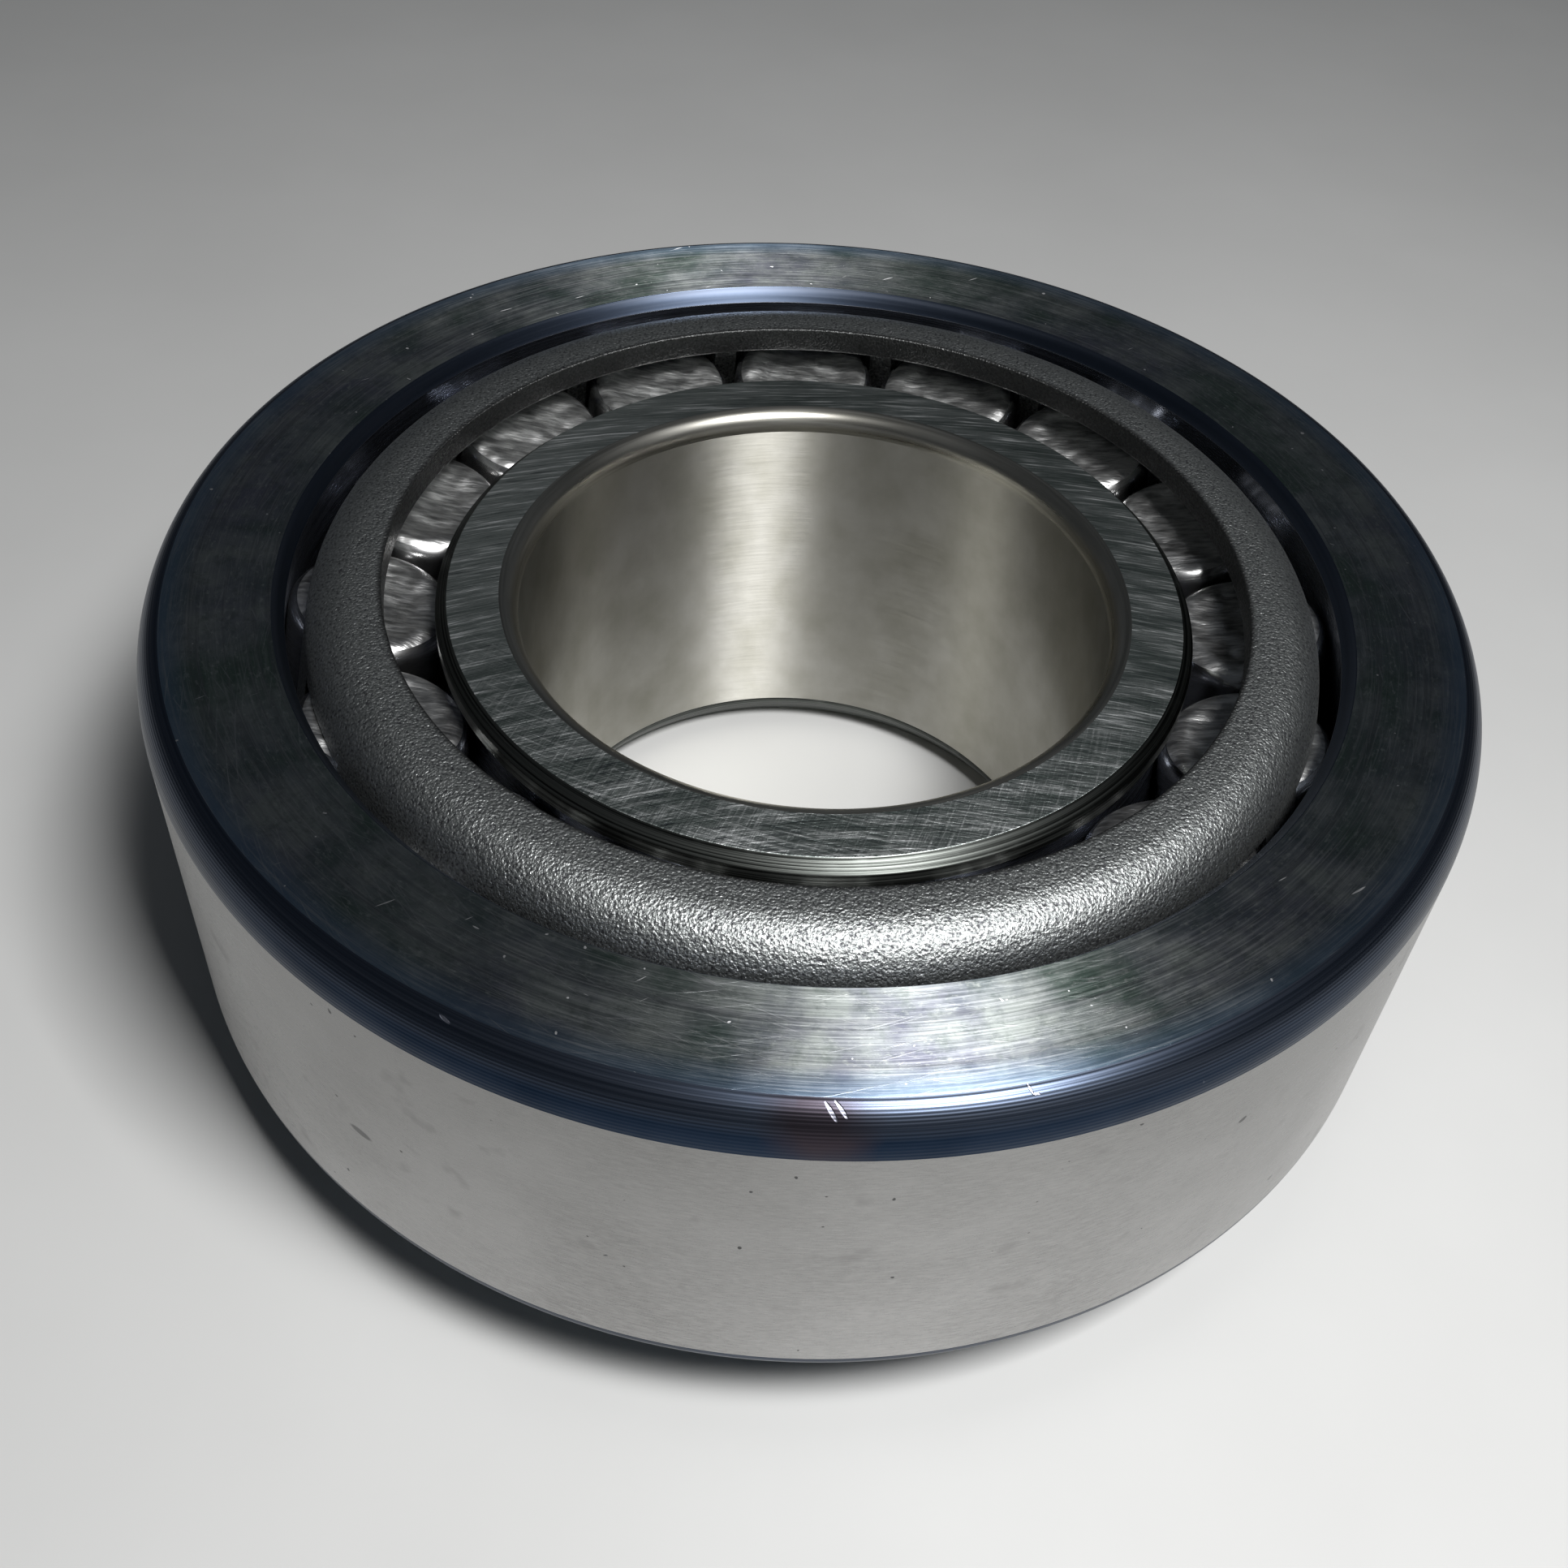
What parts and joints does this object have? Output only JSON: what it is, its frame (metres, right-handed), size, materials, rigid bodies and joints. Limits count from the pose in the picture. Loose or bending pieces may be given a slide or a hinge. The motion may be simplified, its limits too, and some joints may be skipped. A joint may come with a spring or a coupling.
{
  "type": "tapered roller bearing",
  "caption": "Single-row tapered roller bearing: outer ring, flanged inner ring, pressed steel window cage and tapered rollers on a common apex.",
  "frame": {"origin": "centre of the inner ring's back face, on the shaft axis", "axes": "+Z along the shaft axis, from the inner ring's back face towards the small ends of the rollers; X and Y radial"},
  "size_m": [0.11, 0.11, 0.0426],
  "materials": {
    "outer_ring_steel": "ground bearing steel with blued corners, satin",
    "inner_ring_steel": "ground bearing steel, satin bore and cross-ground face",
    "cage_steel": "shot-blasted pressed steel sheet, dark and grainy",
    "roller_steel": "ground bearing steel, bright flanks"
  },
  "bodies": {
    "outer_ring": {"outer_ring": "outer_ring_steel"},
    "inner_ring": {"inner_ring": "inner_ring_steel"},
    "cage": {"cage": "cage_steel"},
    "roller_01": {"roller_01": "roller_steel"},
    "roller_02": {"roller_02": "roller_steel"},
    "roller_03": {"roller_03": "roller_steel"},
    "roller_04": {"roller_04": "roller_steel"},
    "roller_05": {"roller_05": "roller_steel"},
    "roller_06": {"roller_06": "roller_steel"},
    "roller_07": {"roller_07": "roller_steel"},
    "roller_08": {"roller_08": "roller_steel"},
    "roller_09": {"roller_09": "roller_steel"},
    "roller_10": {"roller_10": "roller_steel"},
    "roller_11": {"roller_11": "roller_steel"},
    "roller_12": {"roller_12": "roller_steel"},
    "roller_13": {"roller_13": "roller_steel"},
    "roller_14": {"roller_14": "roller_steel"},
    "roller_15": {"roller_15": "roller_steel"},
    "roller_16": {"roller_16": "roller_steel"}
  },
  "joints": [
    {"name": "inner_ring_spin", "type": "hinge", "parent": "outer_ring", "child": "inner_ring", "pos_m": [0, 0, 0], "axis": [0, 0, 1], "continuous": true},
    {"name": "cage_spin", "type": "hinge", "parent": "outer_ring", "child": "cage", "pos_m": [0, 0, 0], "axis": [0, 0, 1], "continuous": true},
    {"name": "roller_01_spin", "type": "hinge", "parent": "cage", "child": "roller_01", "pos_m": [0.03967, 0.00337, 0.02374], "axis": [-0.1892, -0.016, 0.9818], "continuous": true},
    {"name": "roller_02_spin", "type": "hinge", "parent": "cage", "child": "roller_02", "pos_m": [0.03536, 0.01829, 0.02374], "axis": [-0.1686, -0.0872, 0.9818], "continuous": true},
    {"name": "roller_03_spin", "type": "hinge", "parent": "cage", "child": "roller_03", "pos_m": [0.02567, 0.03043, 0.02374], "axis": [-0.1224, -0.1451, 0.9818], "continuous": true},
    {"name": "roller_04_spin", "type": "hinge", "parent": "cage", "child": "roller_04", "pos_m": [0.01207, 0.03794, 0.02374], "axis": [-0.0576, -0.1809, 0.9818], "continuous": true},
    {"name": "roller_05_spin", "type": "hinge", "parent": "cage", "child": "roller_05", "pos_m": [-0.00337, 0.03967, 0.02374], "axis": [0.016, -0.1892, 0.9818], "continuous": true},
    {"name": "roller_06_spin", "type": "hinge", "parent": "cage", "child": "roller_06", "pos_m": [-0.01829, 0.03536, 0.02374], "axis": [0.0872, -0.1686, 0.9818], "continuous": true},
    {"name": "roller_07_spin", "type": "hinge", "parent": "cage", "child": "roller_07", "pos_m": [-0.03043, 0.02567, 0.02374], "axis": [0.1451, -0.1224, 0.9818], "continuous": true},
    {"name": "roller_08_spin", "type": "hinge", "parent": "cage", "child": "roller_08", "pos_m": [-0.03794, 0.01207, 0.02374], "axis": [0.1809, -0.0576, 0.9818], "continuous": true},
    {"name": "roller_09_spin", "type": "hinge", "parent": "cage", "child": "roller_09", "pos_m": [-0.03967, -0.00337, 0.02374], "axis": [0.1892, 0.016, 0.9818], "continuous": true},
    {"name": "roller_10_spin", "type": "hinge", "parent": "cage", "child": "roller_10", "pos_m": [-0.03536, -0.01829, 0.02374], "axis": [0.1686, 0.0872, 0.9818], "continuous": true},
    {"name": "roller_11_spin", "type": "hinge", "parent": "cage", "child": "roller_11", "pos_m": [-0.02567, -0.03043, 0.02374], "axis": [0.1224, 0.1451, 0.9818], "continuous": true},
    {"name": "roller_12_spin", "type": "hinge", "parent": "cage", "child": "roller_12", "pos_m": [-0.01207, -0.03794, 0.02374], "axis": [0.0576, 0.1809, 0.9818], "continuous": true},
    {"name": "roller_13_spin", "type": "hinge", "parent": "cage", "child": "roller_13", "pos_m": [0.00337, -0.03967, 0.02374], "axis": [-0.016, 0.1892, 0.9818], "continuous": true},
    {"name": "roller_14_spin", "type": "hinge", "parent": "cage", "child": "roller_14", "pos_m": [0.01829, -0.03536, 0.02374], "axis": [-0.0872, 0.1686, 0.9818], "continuous": true},
    {"name": "roller_15_spin", "type": "hinge", "parent": "cage", "child": "roller_15", "pos_m": [0.03043, -0.02567, 0.02374], "axis": [-0.1451, 0.1224, 0.9818], "continuous": true},
    {"name": "roller_16_spin", "type": "hinge", "parent": "cage", "child": "roller_16", "pos_m": [0.03794, -0.01207, 0.02374], "axis": [-0.1809, 0.0576, 0.9818], "continuous": true}
  ],
  "couplings": [
    {"joint": "cage_spin", "follows": "inner_ring_spin", "ratio": 0.40924},
    {"joint": "roller_01_spin", "follows": "inner_ring_spin", "ratio": -2.6154},
    {"joint": "roller_02_spin", "follows": "inner_ring_spin", "ratio": -2.6154},
    {"joint": "roller_03_spin", "follows": "inner_ring_spin", "ratio": -2.6154},
    {"joint": "roller_04_spin", "follows": "inner_ring_spin", "ratio": -2.6154},
    {"joint": "roller_05_spin", "follows": "inner_ring_spin", "ratio": -2.6154},
    {"joint": "roller_06_spin", "follows": "inner_ring_spin", "ratio": -2.6154},
    {"joint": "roller_07_spin", "follows": "inner_ring_spin", "ratio": -2.6154},
    {"joint": "roller_08_spin", "follows": "inner_ring_spin", "ratio": -2.6154},
    {"joint": "roller_09_spin", "follows": "inner_ring_spin", "ratio": -2.6154},
    {"joint": "roller_10_spin", "follows": "inner_ring_spin", "ratio": -2.6154},
    {"joint": "roller_11_spin", "follows": "inner_ring_spin", "ratio": -2.6154},
    {"joint": "roller_12_spin", "follows": "inner_ring_spin", "ratio": -2.6154},
    {"joint": "roller_13_spin", "follows": "inner_ring_spin", "ratio": -2.6154},
    {"joint": "roller_14_spin", "follows": "inner_ring_spin", "ratio": -2.6154},
    {"joint": "roller_15_spin", "follows": "inner_ring_spin", "ratio": -2.6154},
    {"joint": "roller_16_spin", "follows": "inner_ring_spin", "ratio": -2.6154}
  ]
}
